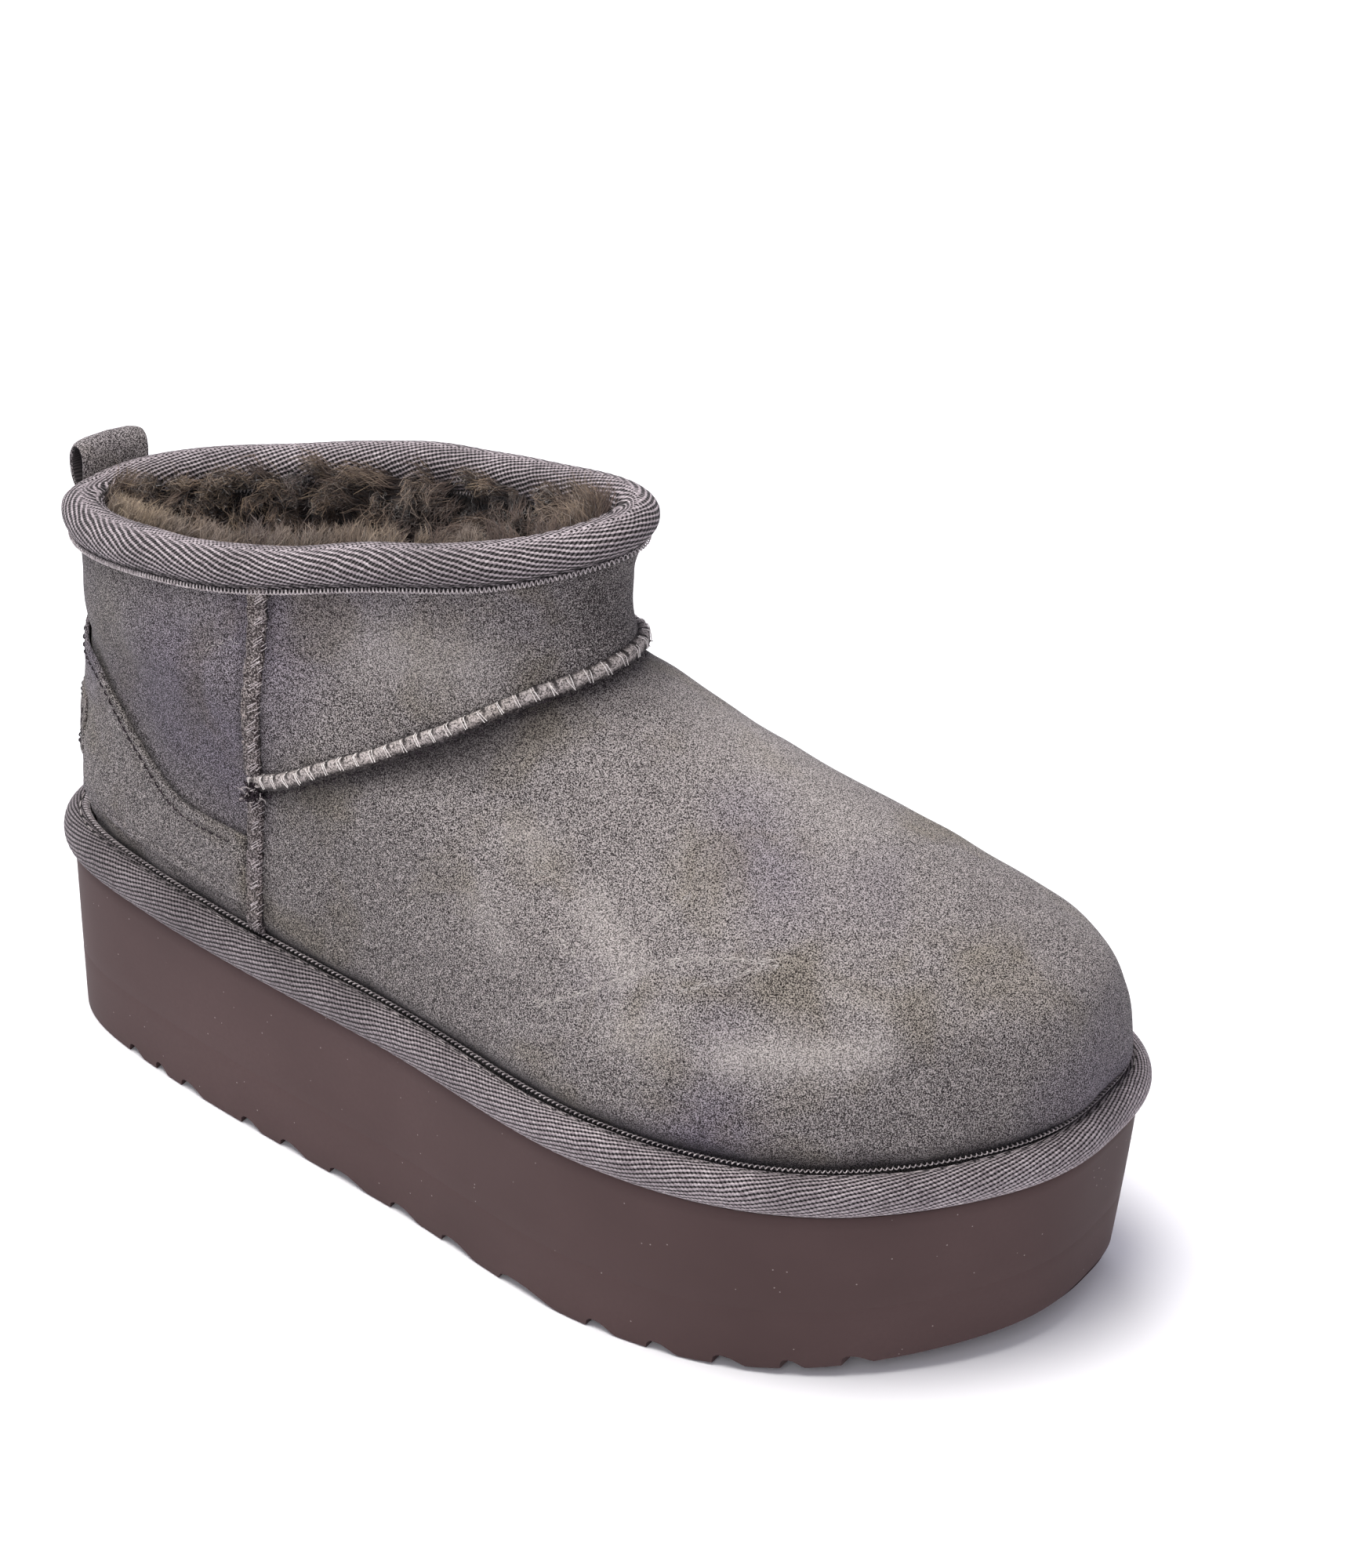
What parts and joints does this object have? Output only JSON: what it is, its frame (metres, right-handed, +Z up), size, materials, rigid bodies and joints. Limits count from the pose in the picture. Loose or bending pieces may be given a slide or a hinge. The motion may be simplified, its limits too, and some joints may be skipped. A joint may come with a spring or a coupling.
{
  "type": "sheepskin boot",
  "caption": "Short platform boot for the right foot: a hollow suede upper lined with fleece, taped collar and welt, heel counter, pull loop and thick foam sole.",
  "frame": {"origin": "on the ground, under the middle of the boot's bounding box", "axes": "+X from heel to toe, +Y to the inner side of the right foot, +Z up"},
  "size_m": [0.2872, 0.117, 0.1777],
  "materials": {
    "suede": "brushed suede",
    "tape": "woven twill",
    "fleece": "curly wool",
    "label": "brushed suede",
    "sole_foam": "matt moulded foam"
  },
  "bodies": {
    "root": {"sole": "sole_foam", "welt_binding": "tape", "upper": "suede", "insole": "fleece", "collar_binding": "tape", "heel_counter": "suede", "heel_label": "label", "pull_loop": "suede"}
  },
  "joints": []
}
